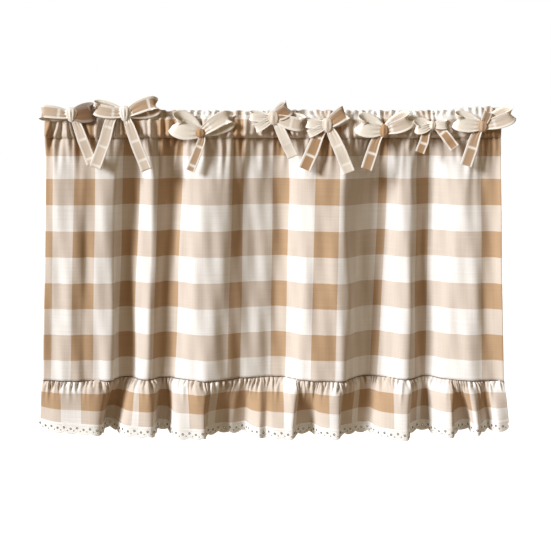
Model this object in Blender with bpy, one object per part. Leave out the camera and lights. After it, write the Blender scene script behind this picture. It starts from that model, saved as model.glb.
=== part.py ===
"""Cafe tier curtain: gathered rod-pocket heading, folded check panel, gathered ruffle,
scalloped eyelet lace and eight tied bows. Metres, +Z up, front towards -Y, and the origin
at the middle of the top edge."""

import math

import bmesh
import bpy
import numpy as np
from mathutils import Vector
from mathutils.bvhtree import BVHTree

# Fold tables are in marks, read across the front as it looks from EYE in front
MARK_TOP = 0.00192
MARK_FOOT = 0.00196
MARK_HEM = 0.00198
MARK_DOWN = 0.00191
MARK_MIDDLE = 275.5
TOP_ROW = 110.5
EYE = 1.81
TOP_LEVEL = -0.104
FOOT_LEVEL = -0.503

# Levels, thicknesses and gaps
POCKET_STITCH = -0.0527
PANEL_TOP = -0.0530
PANEL_FOOT = -0.5270
RUFFLE_TOP = -0.5273
RUFFLE_HEM = -0.6200
GAP = 0.0003
CLOTH = 0.0016
LACE_CLOTH = 0.0012
RIBBON_CLOTH = 0.0015

# Rod pocket, clear inside
POCKET_DEEP = 0.014
POCKET_TOP = -0.017
POCKET_LOW = -0.043

PANEL_MIDDLE = -0.30
PANEL_COLUMNS = 112
PANEL_CURL = 0.010
PANEL_LEVELS = (PANEL_TOP, -0.074, -0.105, -0.150, -0.240, -0.380, PANEL_FOOT)
HEADING_COLUMNS = 121
SCALLOPS = 52
COLUMNS_PER_SCALLOP = 4
LACE_DROP = 0.0185
SCALLOP_EDGE = (0.0, 0.0028, 0.0, -0.0028, 0.0)
EYELET_RADIUS = 0.0028
EYELET_LEVEL = 0.0105
EYELET_ANGLES = (150, 90, 30, -30, -90, -150)
SEED = 7

# The panel's folds stand out less where the heading draws them in, and in full from the lower level
FOLDS_AT_TOP = 0.55
FOLDS_FULL = (-0.04, -0.17)

# Panel folds: position across at the top, at the foot, and how near the front in mm
FOLD_COLUMNS = ("top", "foot", "near")
FOLDS = (
    (46, 43, 3),
    (58, 55, 6),
    (72, 68, 9),
    (82, 78, 8),
    (88, 84, 5),
    (97, 94, 6),
    (109, 106, 7),
    (115, 112, 4),
    (119, 115, -9),
    (128, 123, -23),
    (137, 131, -23),
    (145, 138, -10),
    (153, 147, 1),
    (160, 154, -6),
    (168, 161, -21),
    (177, 170, -23),
    (186, 179, -10),
    (196, 191, 4),
    (208, 203, 10),
    (217, 212, 10),
    (225, 220, 6),
    (233, 228, -2),
    (241, 237, -12),
    (250, 247, -16),
    (260, 258, -19),
    (270, 268, -25),
    (279, 276, -28),
    (288, 284, -23),
    (297, 293, -9),
    (306, 302, 2),
    (318, 313, 7),
    (330, 325, 11),
    (344, 339, 14),
    (351, 345, 9),
    (358, 351, -5),
    (366, 358, -24),
    (376, 367, -34),
    (386, 376, -34),
    (395, 387, -20),
    (403, 398, -7),
    (411, 408, -3),
    (417, 415, -14),
    (424, 421, -28),
    (432, 429, -30),
    (441, 439, -18),
    (451, 450, -4),
    (463, 463, 4),
    (475, 476, 6),
    (485, 486, 2),
    (494, 495, 4),
    (501, 504, 11),
)

# Ruffle folds: position at the seam and at the hem, near in mm, and lift of the hem in mm
RUFFLE_COLUMNS = ("seam", "hem", "near", "lift")
RUFFLE_FOLDS = (
    (43, 41, -6, 13),
    (52, 51, 2, 10),
    (64, 64, 9, 9),
    (78, 79, 13, 8),
    (95, 95, 17, 7),
    (104, 101, 12, 6),
    (108, 104, -14, 5),
    (113, 106, -36, 4),
    (124, 115, -34, 3),
    (131, 120, -12, 3),
    (134, 125, 6, 3),
    (141, 138, 12, 2),
    (152, 152, 14, 2),
    (156, 156, -12, 2),
    (160, 159, -36, 2),
    (169, 168, -32, 1),
    (174, 172, -8, 0),
    (177, 176, 14, 0),
    (190, 192, 19, 0),
    (203, 204, 23, 0),
    (209, 206, 6, 0),
    (215, 212, -8, 0),
    (222, 217, -16, 0),
    (232, 226, -22, 0),
    (238, 232, -16, 0),
    (244, 238, -24, 0),
    (250, 245, -28, 0),
    (255, 251, -4, 0),
    (262, 259, 12, 0),
    (268, 266, 6, 0),
    (274, 273, 14, 0),
    (286, 285, 19, 0),
    (296, 293, 21, 0),
    (300, 296, -2, 0),
    (308, 304, -16, 0),
    (316, 312, -18, 0),
    (321, 319, 6, 0),
    (330, 330, 18, 0),
    (339, 339, 20, 0),
    (343, 341, 0, 0),
    (354, 351, -14, 0),
    (363, 360, -24, 0),
    (372, 369, -24, 0),
    (377, 375, 0, 0),
    (384, 383, 14, 0),
    (398, 398, 24, 0),
    (408, 408, 24, 0),
    (411, 410, -12, 1),
    (419, 418, -30, 2),
    (428, 427, -28, 3),
    (434, 434, -6, 3),
    (440, 441, 14, 4),
    (450, 452, 20, 4),
    (454, 455, -4, 4),
    (458, 461, -24, 5),
    (461, 468, -22, 5),
    (465, 472, 2, 6),
    (470, 477, 14, 6),
    (475, 481, 4, 7),
    (480, 487, -16, 8),
    (486, 491, -8, 9),
    (494, 497, 8, 11),
    (504, 508, 4, 14),
)

# Rise of the heading's top edge in mm, by position across
RISE = (
    (44, 0), (62, 2), (74, 4), (84, 10), (94, 10), (104, 3), (130, 2), (160, 0),
    (250, -1), (300, 1), (350, 0), (450, 0), (460, 6), (490, 8), (500, 4),
)

# Heading in section, from its front foot over the top to the back: how near, how far a pleat moves it,
# level, and whether it follows the top edge
HEADING_SECTION = (
    (0.0098, 0.0006, -0.0450, 0),
    (0.0110, 0.0014, -0.0300, 0),
    (0.0098, 0.0008, -0.0150, 0),
    (0.0026, 0.0012, -0.0090, 0),
    (0.0016, 0.0028, 0.0, 1),
    (-0.0016, 0.0028, 0.0, 1),
    (-0.0026, 0.0012, -0.0090, 0),
    (-0.0098, 0.0008, -0.0150, 0),
    (-0.0098, -0.0006, -0.0450, 0),
)
TOP_WAVE = 0.0012

# Ruffle, by share of its drop: rows, how the hem's width is reached, small gathers and the puff at the seam
RUFFLE_ROWS = (0.0, 0.22, 0.55, 1.0)
RUFFLE_PULL = 0.75
RUFFLE_GATHER = 0.0016
RUFFLE_PUFF = 0.003
PUFF_REACH = 1.6

# Bows in marks: knot, its size and how much wider its top is, loops as (tip across, tip down, width,
# how far the back strip lies above the front strip) and tails as (start, elbow, end, width, lean in mm)
BOWS = {
    "bow_1": {
        "knot": (72.5, 115), "size": (11.5, 15), "flare": 0.45,
        "loops": ((42.5, 112.5, 13, -3), (94, 112, 17, 3)),
        "tails": (((77, 122), (83.5, 140), (92, 163.5), 10.5, 1),),
    },
    "bow_2": {
        "knot": (126, 114), "size": (11.5, 16), "flare": 0.4,
        "loops": ((96.5, 107.5, 13, 4), (157, 105.5, 14, -7)),
        "tails": (
            ((113.5, 113.5), (105.5, 140), (95, 167), 11.5, 5.5),
            ((128.5, 121), (137, 145), (146.5, 169.5), 11, 2),
        ),
    },
    "bow_3": {
        "knot": (200.6, 132.8), "size": (10, 9.5), "flare": 0.0,
        "loops": ((176.5, 122, 19, 9), (230, 119, 14, -7)),
        "tails": (((203, 137), (197, 153), (190, 170), 9, 2),),
    },
    "bow_4": {
        "knot": (273.5, 118), "size": (12, 14.5), "flare": 0.0,
        "loops": ((250.5, 115.5, 8, 3), (255, 128, 9, 2), (288, 107.5, 14, 3), (302.5, 123, 14, 4)),
        "tails": (((277, 123), (285, 140), (293, 156.5), 10.5, 2),),
    },
    "bow_5": {
        "knot": (327, 125), "size": (11.5, 15), "flare": 0.0,
        "loops": ((306.5, 122.5, 9, 2), (308, 134, 7.5, 1), (345.5, 113, 15, -2)),
        "tails": (
            ((319, 134), (312.5, 150), (304.5, 168.5), 13, 1),
            ((331, 131), (340.5, 151), (349.5, 172), 12, 4.5),
        ),
    },
    "bow_6": {
        "knot": (383.5, 130.5), "size": (9, 13), "flare": 0.0,
        "loops": ((360, 123, 16, 8), (408, 118.5, 14, 6)),
        "tails": (((376.5, 138), (371.5, 153), (366.5, 168.5), 11.5, 2),),
    },
    "bow_7": {
        "knot": (431.5, 125), "size": (7, 9), "flare": 0.0,
        "loops": ((415, 126, 8.5, 8), (446, 124, 8, 2)),
        "tails": (
            ((426, 131.5), (423.5, 141.5), (419.5, 152), 9.5, 1),
            ((439, 128.5), (447.5, 138.5), (454.5, 147.5), 10, 2),
        ),
    },
    "bow_8": {
        "knot": (481.5, 126), "size": (10.5, 12.5), "flare": 0.0,
        "loops": ((455.5, 119.5, 15, 6), (510, 113.5, 14, 6), (487, 112, 8, 0)),
        "tails": (((475.5, 134), (471, 149), (466, 165), 12, 2),),
    },
}
BOW_FRONT = 0.0200
BOW_GAP = 0.00085
KNOT_DEEP = 0.0104
KNOT_SIDES = 8
KNOT_RINGS = ((-0.5, 0.62), (-0.2, 0.98), (0.2, 0.98), (0.5, 0.62))

# A loop from the knot out and back: share of its reach, mm in front, share of its width, share of its lift
LOOP_PATH = (
    (0.02, 0.6, 0.62, 0.0),
    (0.30, 3.6, 0.85, -0.45),
    (0.62, 5.0, 0.98, -0.95),
    (0.90, 3.6, 1.0, -0.9),
    (0.985, 0.4, 1.0, 0.0),
    (0.90, -2.6, 1.0, 0.9),
    (0.62, -3.4, 0.98, 0.95),
    (0.30, -2.6, 0.85, 0.45),
    (0.02, -1.2, 0.62, 0.0),
)
LOOP_STEP = 0.00041
TAIL_STEP = 0.0005
TAIL_GROW = (0.6, 0.85, 0.95, 1.0, 1.0, 1.0)

COLOURS = {
    "panel": (0.62, 0.47, 0.32, 1.0),
    "heading": (0.66, 0.52, 0.37, 1.0),
    "ruffle": (0.58, 0.43, 0.28, 1.0),
    "lace": (0.93, 0.92, 0.88, 1.0),
    "bow": (0.88, 0.81, 0.69, 1.0),
}


def column(table, names, name):
    return np.array([row[names.index(name)] for row in table], float)


def curve(knots, values, at):
    """A smooth curve through values at knots, read at each point of at."""
    slope = np.empty_like(values)
    slope[1:-1] = (values[2:] - values[:-2]) / (knots[2:] - knots[:-2])
    slope[0] = (values[1] - values[0]) / (knots[1] - knots[0])
    slope[-1] = (values[-1] - values[-2]) / (knots[-1] - knots[-2])
    i = np.clip(np.searchsorted(knots, at, side="right") - 1, 0, len(knots) - 2)
    span = knots[i + 1] - knots[i]
    t = (at - knots[i]) / span
    return (
        (2 * t**3 - 3 * t**2 + 1) * values[i]
        + (t**3 - 2 * t**2 + t) * span * slope[i]
        + (3 * t**2 - 2 * t**3) * values[i + 1]
        + (t**3 - t**2) * span * slope[i + 1]
    )


def smooth(edge0, edge1, value):
    t = min(max((value - edge0) / (edge1 - edge0), 0.0), 1.0)
    return t * t * (3 - 2 * t)


def across(mark, scale, near):
    return (mark - MARK_MIDDLE) * scale * (1 - near / EYE)


TOP_MARKS = column(FOLDS, FOLD_COLUMNS, "top")
FOOT_MARKS = column(FOLDS, FOLD_COLUMNS, "foot")
FOLD_NEAR = column(FOLDS, FOLD_COLUMNS, "near") / 1000


def fold_keys(level):
    """The panel's fold points at a level, as distances across and near."""
    down = (TOP_LEVEL - level) / (TOP_LEVEL - FOOT_LEVEL)
    marks = TOP_MARKS + (FOOT_MARKS - TOP_MARKS) * down
    scale = MARK_TOP + (MARK_FOOT - MARK_TOP) * down
    near = FOLD_NEAR * (FOLDS_AT_TOP + (1 - FOLDS_AT_TOP) * smooth(*FOLDS_FULL, level))
    return across(marks, scale, near), near


def knots_of(x, near):
    steps = np.hypot(np.diff(x), np.diff(near))
    return np.concatenate([[0.0], np.cumsum(steps)])


PANEL_KNOTS = knots_of(*fold_keys(PANEL_MIDDLE))


def panel_at(knots, level):
    x, near = fold_keys(level)
    return curve(PANEL_KNOTS, x, knots), curve(PANEL_KNOTS, near, knots)


def panel_columns(count, level, curl):
    """Knot values spaced by length along a level, closer where the cloth curls."""
    fine = np.linspace(0, PANEL_KNOTS[-1], 3000)
    x, near = panel_at(fine, level)
    dx, dy = np.gradient(x), np.gradient(near)
    step = np.hypot(dx, dy)
    turn = np.abs(np.gradient(np.unwrap(np.arctan2(dy, dx))))
    cost = np.cumsum(step + curl * turn)
    return np.interp(np.linspace(cost[0], cost[-1], count), cost, fine)


def new_object(name, points, faces, colour):
    mesh = bpy.data.meshes.new(name)
    mesh.from_pydata([tuple(map(float, p)) for p in points], [], faces)
    mesh.validate()
    work = bmesh.new()
    work.from_mesh(mesh)
    bmesh.ops.recalc_face_normals(work, faces=work.faces[:])
    bmesh.ops.triangulate(work, faces=work.faces[:])
    work.to_mesh(mesh)
    work.free()
    thing = bpy.data.objects.new(name, mesh)
    bpy.context.scene.collection.objects.link(thing)
    material = bpy.data.materials.new(name + "_cloth")
    material.use_nodes = True
    shader = material.node_tree.nodes["Principled BSDF"]
    shader.inputs["Base Color"].default_value = colour
    shader.inputs["Roughness"].default_value = 0.9
    mesh.materials.append(material)
    return thing


def thicken(name, front, back, faces, colour):
    """A closed sheet from matching front and back points and the front's faces."""
    count = len(front)
    edges = {}
    for face in faces:
        for a, b in zip(face, face[1:] + face[:1]):
            edges[(a, b)] = edges.get((a, b), 0) + 1
    rim = [(a, b) for a, b in edges if (b, a) not in edges]
    whole = list(faces)
    whole += [tuple(count + i for i in reversed(face)) for face in faces]
    whole += [(b, a, count + a, count + b) for a, b in rim]
    return new_object(name, list(front) + list(back), whole, colour)


def grid_faces(columns, rows):
    faces = []
    for i in range(columns - 1):
        for j in range(rows - 1):
            a = i * rows + j
            faces.append((a, a + 1, a + rows + 1, a + rows))
    return faces


def sheet_normals(grid):
    along = np.gradient(grid, axis=0)
    down = np.gradient(grid, axis=1)
    normal = np.cross(down, along)
    return normal / np.linalg.norm(normal, axis=2, keepdims=True)


def sheet(name, grid, thickness, colour):
    """A closed sheet around a grid of middle points, columns by rows."""
    offset = sheet_normals(grid) * thickness / 2
    columns, rows = grid.shape[:2]
    front = (grid + offset).reshape(-1, 3)
    back = (grid - offset).reshape(-1, 3)
    # top and foot edges stay level, so that the next piece keeps its gap
    level = grid.reshape(-1, 3)[:, 2]
    edge = np.arange(columns * rows) % rows
    for side in (front, back):
        side[edge == 0, 2] = level[edge == 0]
        side[edge == rows - 1, 2] = level[edge == rows - 1]
    return thicken(name, front, back, grid_faces(columns, rows), colour)


# Panel
def build_panel():
    knots = panel_columns(PANEL_COLUMNS, PANEL_MIDDLE, PANEL_CURL)
    grid = np.empty((PANEL_COLUMNS, len(PANEL_LEVELS), 3))
    for row, level in enumerate(PANEL_LEVELS):
        x, near = panel_at(knots, level)
        grid[:, row] = np.stack([x, -near, np.full_like(x, level)], axis=1)
    return sheet("curtain_panel", grid, CLOTH, COLOURS["panel"])


# Heading with its rod pocket and frill
def build_heading():
    rng = np.random.default_rng(SEED)
    knots = panel_columns(HEADING_COLUMNS, PANEL_TOP, 0.0)
    x, near = panel_at(knots, POCKET_STITCH)
    rise = np.interp(x / MARK_TOP + MARK_MIDDLE, *np.array(RISE, float).T) / 1000
    pleat = np.where(np.arange(HEADING_COLUMNS) % 2 == 0, 1.0, -1.0)
    pleat = pleat * rng.uniform(0.6, 1.0, HEADING_COLUMNS)
    foot = np.full_like(x, POCKET_STITCH)
    loop = [(near + CLOTH / 2, foot)]
    for forward, share, level, top in HEADING_SECTION:
        loop.append((forward + share * pleat, level + top * (TOP_WAVE * pleat + rise)))
    loop.append((near - CLOTH / 2, foot))
    count = len(loop)
    points = []
    for i in range(HEADING_COLUMNS):
        for forward, level in loop:
            points.append((x[i], -forward[i], level[i]))
    faces = []
    for i in range(HEADING_COLUMNS - 1):
        for j in range(count):
            k = (j + 1) % count
            faces.append((i * count + j, i * count + k, (i + 1) * count + k, (i + 1) * count + j))
    last = (HEADING_COLUMNS - 1) * count
    faces.append(tuple(reversed(range(count))))
    faces.append(tuple(range(last, last + count)))
    heading = new_object("heading", points, faces, COLOURS["heading"])
    deep = POCKET_DEEP / 2
    ends = (x[0] - 0.02, x[-1] + 0.02)
    corners = [
        (end, side, level)
        for end in ends
        for side, level in (
            (-deep, POCKET_LOW),
            (deep, POCKET_LOW),
            (deep, POCKET_TOP),
            (-deep, POCKET_TOP),
        )
    ]
    sides = [(0, 1, 2, 3), (7, 6, 5, 4)]
    sides += [(i, i + 4, (i + 1) % 4 + 4, (i + 1) % 4) for i in range(4)]
    cutter = new_object("pocket_cutter", corners, sides, COLOURS["heading"])
    cut(heading, cutter)
    return heading


def cut(body, tool, operation="DIFFERENCE"):
    """Applies one exact Boolean and removes its tool."""
    modifier = body.modifiers.new(operation.lower(), "BOOLEAN")
    modifier.operation = operation
    modifier.solver = "EXACT"
    modifier.object = tool
    bpy.context.view_layer.update()
    graph = bpy.context.evaluated_depsgraph_get()
    mesh = bpy.data.meshes.new_from_object(body.evaluated_get(graph))
    body.modifiers.clear()
    body.data = mesh
    bpy.data.objects.remove(tool)


# Ruffle, its columns evenly spaced along the hem
def ruffle_grid():
    rng = np.random.default_rng(SEED + 1)
    near = column(RUFFLE_FOLDS, RUFFLE_COLUMNS, "near") / 1000
    lift = column(RUFFLE_FOLDS, RUFFLE_COLUMNS, "lift") / 1000
    seam = column(RUFFLE_FOLDS, RUFFLE_COLUMNS, "seam")
    hem = across(column(RUFFLE_FOLDS, RUFFLE_COLUMNS, "hem"), MARK_HEM, near)
    knots = knots_of(hem, near)
    fine = np.linspace(0, knots[-1], 4000)
    hem_x, hem_near = curve(knots, hem, fine), curve(knots, near, fine)
    length = knots_of(hem_x, hem_near)
    count = SCALLOPS * COLUMNS_PER_SCALLOP + 1
    at = np.interp(np.linspace(0, length[-1], count), length, fine)
    hem_x, hem_near = curve(knots, hem, at), curve(knots, near, at)
    hem_lift = curve(knots, lift, at)
    seam_marks = np.interp(at, knots, seam)
    seam_x, seam_near = panel_at(np.interp(seam_marks, FOOT_MARKS, PANEL_KNOTS), PANEL_FOOT)
    gather = np.where(np.arange(count) % 2 == 0, 1.0, -1.0) * rng.uniform(0.5, 1.0, count)
    hem_z = RUFFLE_HEM + hem_lift
    rows = []
    for t in RUFFLE_ROWS:
        pull = t**RUFFLE_PULL
        puff = RUFFLE_PUFF * math.sin(math.pi * min(t * PUFF_REACH, 1.0))
        puff = puff + RUFFLE_GATHER * (1 - t) ** 2 * gather
        x = seam_x + (hem_x - seam_x) * pull
        forward = seam_near + (hem_near - seam_near) * pull + puff
        z = RUFFLE_TOP + (hem_z - RUFFLE_TOP) * t
        rows.append(np.stack([x, -forward, z], axis=1))
    return np.stack(rows, axis=1)


def build_ruffle(grid):
    return sheet("ruffle", grid, CLOTH, COLOURS["ruffle"])


# Lace: eyelet cells and plain cells in turn under the ruffle's hem
def build_lace(grid):
    hem = grid[:, -1].copy()
    along = np.gradient(hem, axis=0)
    side = np.stack([along[:, 1], -along[:, 0], np.zeros(len(hem))], axis=1)
    side /= np.linalg.norm(side, axis=1, keepdims=True)
    middle, half = [], []
    faces = []
    made = {}

    def point(station, drop):
        key = (round(float(station), 4), round(float(drop), 6))
        if key not in made:
            low = min(int(station), len(hem) - 2)
            t = station - low
            spot = hem[low] * (1 - t) + hem[low + 1] * t
            out = side[low] * (1 - t) + side[low + 1] * t
            middle.append(spot + np.array([0.0, 0.0, -drop]))
            half.append(out / np.linalg.norm(out) * LACE_CLOTH / 2)
            made[key] = len(middle) - 1
        return made[key]

    pitch = float(np.linalg.norm(along, axis=1).mean())
    for k in range(SCALLOPS):
        s = k * COLUMNS_PER_SCALLOP
        tops = [point(s + i, GAP) for i in range(len(SCALLOP_EDGE))]
        lows = [point(s + i, LACE_DROP + deep) for i, deep in enumerate(SCALLOP_EDGE)]
        ring = [tops[0], tops[1], tops[2], lows[2], lows[1], lows[0]]
        hole = []
        for angle in EYELET_ANGLES:
            turn = math.radians(angle)
            hole.append(
                point(
                    s + 1 + EYELET_RADIUS * math.cos(turn) / pitch,
                    EYELET_LEVEL - EYELET_RADIUS * math.sin(turn),
                )
            )
        for i in range(6):
            j = (i + 1) % 6
            faces.append((ring[i], hole[i], hole[j], ring[j]))
        for i in (2, 3):
            faces.append((tops[i], lows[i], lows[i + 1], tops[i + 1]))
    middle, half = np.array(middle), np.array(half)
    return thicken("lace_trim", middle + half, middle - half, faces, COLOURS["lace"])


# Bows
def spot(mark_x, mark_y, near):
    return Vector((across(mark_x, MARK_TOP, near), -near, -(mark_y - TOP_ROW) * MARK_DOWN))


def ribbon(name, path, widths, wide):
    """A ribbon swept along path, with its width laid along the vectors of wide."""
    points, faces = [], []
    for i, p in enumerate(path):
        along = (path[min(i + 1, len(path) - 1)] - path[max(i - 1, 0)]).normalized()
        out = along.cross(wide[i]).normalized() * RIBBON_CLOTH / 2
        half = wide[i].normalized() * widths[i] / 2
        points += [p + half + out, p - half + out, p - half - out, p + half - out]
    for i in range(len(path) - 1):
        for j in range(4):
            k = (j + 1) % 4
            faces.append((4 * i + j, 4 * i + k, 4 * i + 4 + k, 4 * i + 4 + j))
    last = 4 * (len(path) - 1)
    faces += [(3, 2, 1, 0), (last, last + 1, last + 2, last + 3)]
    return new_object(name, points, faces, COLOURS["bow"])


def knot(name, centre, wide, tall, flare):
    """A flattened ball of tied ribbon, wider at the top by its flare."""
    points, faces = [], []
    for drop, share in KNOT_RINGS:
        half = wide / 2 * share * (1 + 2 * flare * drop)
        for i in range(KNOT_SIDES):
            turn = 2 * math.pi * i / KNOT_SIDES
            out = Vector((half * math.cos(turn), KNOT_DEEP / 2 * share * math.sin(turn), tall * drop))
            points.append(centre + out)
    last = KNOT_SIDES * (len(KNOT_RINGS) - 1)
    for r in range(0, last, KNOT_SIDES):
        for i in range(KNOT_SIDES):
            j = (i + 1) % KNOT_SIDES
            faces.append((r + i, r + j, r + KNOT_SIDES + j, r + KNOT_SIDES + i))
    faces.append(tuple(reversed(range(KNOT_SIDES))))
    faces.append(tuple(range(last, last + KNOT_SIDES)))
    return new_object(name, points, faces, COLOURS["bow"])


def build_bow(name, bow):
    centre = spot(*bow["knot"], BOW_FRONT)
    size_x, size_y = bow["size"]
    body = knot(name, centre, size_x * MARK_TOP, size_y * MARK_TOP, bow["flare"])
    front = Vector((0.0, -1.0, 0.0))
    for n, (tip_x, tip_y, width, lift) in enumerate(bow["loops"]):
        run = spot(tip_x, tip_y, BOW_FRONT) - centre
        wide = run.cross(front).normalized()
        up = wide if wide.z > 0 else -wide
        start = centre + Vector((0.0, 0.0, n * LOOP_STEP))
        path = [
            start + run * share + front * out / 1000 + up * lift * MARK_TOP / 2 * part
            for share, out, grow, part in LOOP_PATH
        ]
        widths = [width * MARK_TOP * grow for share, out, grow, part in LOOP_PATH]
        cut(body, ribbon(name + "_loop", path, widths, [wide] * len(path)), "UNION")
    for n, (start, elbow, end, width, lean) in enumerate(bow["tails"]):
        near = BOW_FRONT + TAIL_STEP * (n + 1)
        first = spot(*start, near)
        middle = spot(*elbow, near + lean / 2000)
        last = spot(*end, near + lean / 1000)
        path = [centre.lerp(first, 0.25), first, first.lerp(middle, 0.5), middle]
        path += [middle.lerp(last, 0.5), last]
        wide = (last - first).cross(front).normalized()
        widths = [width * MARK_TOP * grow for grow in TAIL_GROW]
        cut(body, ribbon(name + "_tail", path, widths, [wide] * len(path)), "UNION")
    return body


def seat(thing, target):
    """Moves a bow back until its nearest point stands the gap in front of the target."""
    back = Vector((0.0, 1.0, 0.0))
    tree = BVHTree.FromPolygons(
        [v.co[:] for v in target.data.vertices], [p.vertices[:] for p in target.data.polygons]
    )
    own = BVHTree.FromPolygons(
        [v.co[:] for v in thing.data.vertices], [p.vertices[:] for p in thing.data.polygons]
    )
    room = []
    for v in thing.data.vertices:
        hit = tree.ray_cast(v.co, back)
        if hit[0] is not None:
            room.append(hit[3])
    for v in target.data.vertices:
        hit = own.ray_cast(v.co, -back)
        if hit[0] is not None:
            room.append(hit[3])
    move = min(room) - BOW_GAP
    for v in thing.data.vertices:
        v.co.y += move


def main():
    for old in list(bpy.data.objects):
        bpy.data.objects.remove(old)
    build_panel()
    heading = build_heading()
    grid = ruffle_grid()
    build_ruffle(grid)
    build_lace(grid)
    for name, bow in BOWS.items():
        thing = build_bow(name, bow)
        seat(thing, heading)


main()
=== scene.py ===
import math

import bpy
import numpy as np
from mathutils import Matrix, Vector


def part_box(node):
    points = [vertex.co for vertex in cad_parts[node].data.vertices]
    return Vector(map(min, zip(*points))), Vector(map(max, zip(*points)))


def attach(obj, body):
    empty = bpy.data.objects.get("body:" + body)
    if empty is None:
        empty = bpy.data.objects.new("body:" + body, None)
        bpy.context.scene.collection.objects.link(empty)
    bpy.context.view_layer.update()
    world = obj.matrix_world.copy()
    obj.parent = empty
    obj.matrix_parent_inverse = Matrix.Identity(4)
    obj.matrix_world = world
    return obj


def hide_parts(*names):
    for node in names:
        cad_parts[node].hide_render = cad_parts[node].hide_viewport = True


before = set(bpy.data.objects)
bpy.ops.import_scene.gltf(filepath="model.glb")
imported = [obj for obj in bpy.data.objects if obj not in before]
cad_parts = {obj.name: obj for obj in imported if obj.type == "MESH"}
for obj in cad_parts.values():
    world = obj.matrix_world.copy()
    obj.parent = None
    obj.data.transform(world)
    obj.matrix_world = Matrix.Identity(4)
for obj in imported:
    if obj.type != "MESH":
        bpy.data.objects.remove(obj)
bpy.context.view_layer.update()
print("frame loaded")

# The view: a long lens level with the heading, tipped down a little, with the frame shifted to the photograph's
view = {
    "focalPixels": 943.0, "imagePixels": 551.0, "centreRow": 209.0, "tipDown": 6.0, "back": 1.809,
    "height": 0.001,
}

# How marks read across the front, as seen from the eye, turn into metres
marks = {
    "middle": 275.5, "topRow": 110.5, "atTop": 0.00192, "atFoot": 0.00196, "atHem": 0.00198,
    "down": 0.00191, "eye": 1.81,
}


# How cloth, thread and paint shine: dully, with a soft pale sheen at grazing angles
shine = {"specular": 0.25, "sheenRoughness": 0.55}
colourMix = {"data_type": "RGBA"}
multiplyMix = {"data_type": "RGBA", "blend_type": "MULTIPLY"}


# One sRGB hex colour as linear red, green and blue, with full alpha.
def linear(hexColour):
    values = [int(hexColour[i : i + 2], 16) / 255 for i in (1, 3, 5)]
    return (*(c / 12.92 if c <= 0.04045 else ((c + 0.055) / 1.055) ** 2.4 for c in values), 1.0)


# Adds one node; each link is a value, or a (node, output) pair, by input name or place.
def addNode(tree, kind, settings=None, **links):
    node = tree.nodes.new(kind)
    for key, value in (settings or {}).items():
        setattr(node, key, value)
    for key, value in links.items():
        place = int(key[1:]) if key[0] == "i" and key[1:].isdigit() else key.replace("_", " ")
        socket = node.inputs[place]
        if isinstance(value, tuple) and len(value) == 2 and hasattr(value[0], "outputs"):
            tree.links.new(value[0].outputs[value[1]], socket)
        else:
            socket.default_value = value
    return node


# A named material with its principled shader and tree.
def newMaterial(name, roughness, sheen=0.0):
    material = bpy.data.materials.new(name)
    material.use_nodes = True
    tree = material.node_tree
    shader = tree.nodes["Principled BSDF"]
    shader.inputs["Roughness"].default_value = roughness
    shader.inputs["Specular IOR Level"].default_value = shine["specular"]
    if sheen:
        shader.inputs["Sheen Weight"].default_value = sheen
        shader.inputs["Sheen Roughness"].default_value = shine["sheenRoughness"]
    return material, tree, shader


# Fold tables, the same as the part's: places in marks across the front, near and lift in mm
foldNames = ("top", "foot", "near")
panelFolds = (
    (46, 43, 3), (58, 55, 6), (72, 68, 9), (82, 78, 8), (88, 84, 5), (97, 94, 6), (109, 106, 7),
    (115, 112, 4), (119, 115, -9), (128, 123, -23), (137, 131, -23), (145, 138, -10), (153, 147, 1),
    (160, 154, -6), (168, 161, -21), (177, 170, -23), (186, 179, -10), (196, 191, 4), (208, 203, 10),
    (217, 212, 10), (225, 220, 6), (233, 228, -2), (241, 237, -12), (250, 247, -16), (260, 258, -19),
    (270, 268, -25), (279, 276, -28), (288, 284, -23), (297, 293, -9), (306, 302, 2), (318, 313, 7),
    (330, 325, 11), (344, 339, 14), (351, 345, 9), (358, 351, -5), (366, 358, -24), (376, 367, -34),
    (386, 376, -34), (395, 387, -20), (403, 398, -7), (411, 408, -3), (417, 415, -14), (424, 421, -28),
    (432, 429, -30), (441, 439, -18), (451, 450, -4), (463, 463, 4), (475, 476, 6), (485, 486, 2),
    (494, 495, 4), (501, 504, 11),
)
ruffleNames = ("seam", "hem", "near", "lift")
ruffleFolds = (
    (43, 41, -6, 13), (52, 51, 2, 10), (64, 64, 9, 9), (78, 79, 13, 8), (95, 95, 17, 7), (104, 101, 12, 6),
    (108, 104, -14, 5), (113, 106, -36, 4), (124, 115, -34, 3), (131, 120, -12, 3), (134, 125, 6, 3),
    (141, 138, 12, 2), (152, 152, 14, 2), (156, 156, -12, 2), (160, 159, -36, 2), (169, 168, -32, 1),
    (174, 172, -8, 0), (177, 176, 14, 0), (190, 192, 19, 0), (203, 204, 23, 0), (209, 206, 6, 0),
    (215, 212, -8, 0), (222, 217, -16, 0), (232, 226, -22, 0), (238, 232, -16, 0), (244, 238, -24, 0),
    (250, 245, -28, 0), (255, 251, -4, 0), (262, 259, 12, 0), (268, 266, 6, 0), (274, 273, 14, 0),
    (286, 285, 19, 0), (296, 293, 21, 0), (300, 296, -2, 0), (308, 304, -16, 0), (316, 312, -18, 0),
    (321, 319, 6, 0), (330, 330, 18, 0), (339, 339, 20, 0), (343, 341, 0, 0), (354, 351, -14, 0),
    (363, 360, -24, 0), (372, 369, -24, 0), (377, 375, 0, 0), (384, 383, 14, 0), (398, 398, 24, 0),
    (408, 408, 24, 0), (411, 410, -12, 1), (419, 418, -30, 2), (428, 427, -28, 3), (434, 434, -6, 3),
    (440, 441, 14, 4), (450, 452, 20, 4), (454, 455, -4, 4), (458, 461, -24, 5), (461, 468, -22, 5),
    (465, 472, 2, 6), (470, 477, 14, 6), (475, 481, 4, 7), (480, 487, -16, 8), (486, 491, -8, 9),
    (494, 497, 8, 11), (504, 508, 4, 14),
)
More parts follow.
